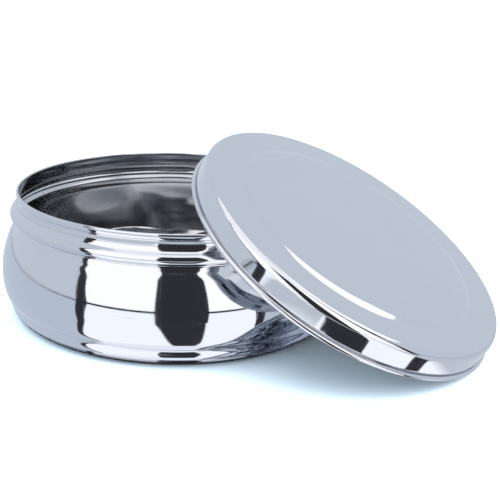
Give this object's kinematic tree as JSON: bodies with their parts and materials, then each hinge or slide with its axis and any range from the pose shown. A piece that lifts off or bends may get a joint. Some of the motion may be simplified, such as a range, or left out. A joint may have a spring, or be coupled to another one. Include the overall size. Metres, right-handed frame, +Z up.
{
  "type": "spice box masala dabba",
  "caption": "Round belly-shaped polished steel spice box with small lift-out cups and a spoon inside, its shallow lid leaning open on the rim.",
  "frame": {"origin": "on the table, under the centre of the box's flat base", "axes": "+Z up; +X towards the side where the lid leans; +Y away from the viewer"},
  "size_m": [0.2848, 0.2311, 0.1056],
  "materials": {
    "box_steel": "mirror-polished stainless steel",
    "lid_steel": "mirror-polished stainless steel",
    "cup_steel": "bright-polished stainless steel",
    "spoon_steel": "bright-polished stainless steel"
  },
  "bodies": {
    "box": {"box": "box_steel"},
    "lid": {"lid": "lid_steel"},
    "middle_cup": {"middle_cup": "cup_steel"},
    "ring_cup_1": {"ring_cup_1": "cup_steel"},
    "ring_cup_2": {"ring_cup_2": "cup_steel"},
    "ring_cup_3": {"ring_cup_3": "cup_steel"},
    "ring_cup_4": {"ring_cup_4": "cup_steel"},
    "ring_cup_5": {"ring_cup_5": "cup_steel"},
    "ring_cup_6": {"ring_cup_6": "cup_steel"},
    "spoon": {"spoon": "spoon_steel"}
  },
  "joints": [
    {"name": "lid_lift", "type": "slide", "parent": "box", "child": "lid", "axis": [0, 0, 1], "range_m": [0, 0.12]},
    {"name": "middle_cup_lift", "type": "slide", "parent": "box", "child": "middle_cup", "axis": [0, 0, 1], "range_m": [0, 0.064]},
    {"name": "ring_cup_1_lift", "type": "slide", "parent": "box", "child": "ring_cup_1", "axis": [0, 0, 1], "range_m": [0, 0.05]},
    {"name": "ring_cup_2_lift", "type": "slide", "parent": "box", "child": "ring_cup_2", "axis": [0, 0, 1], "range_m": [0, 0.058]},
    {"name": "ring_cup_3_lift", "type": "slide", "parent": "box", "child": "ring_cup_3", "axis": [0, 0, 1], "range_m": [0, 0.08]},
    {"name": "ring_cup_4_lift", "type": "slide", "parent": "box", "child": "ring_cup_4", "axis": [0, 0, 1], "range_m": [0, 0.08]},
    {"name": "ring_cup_5_lift", "type": "slide", "parent": "box", "child": "ring_cup_5", "axis": [0, 0, 1], "range_m": [0, 0.08]},
    {"name": "ring_cup_6_lift", "type": "slide", "parent": "box", "child": "ring_cup_6", "axis": [0, 0, 1], "range_m": [0, 0.05]},
    {"name": "spoon_lift", "type": "slide", "parent": "middle_cup", "child": "spoon", "axis": [0, 0, 1], "range_m": [0, 0.08]}
  ]
}
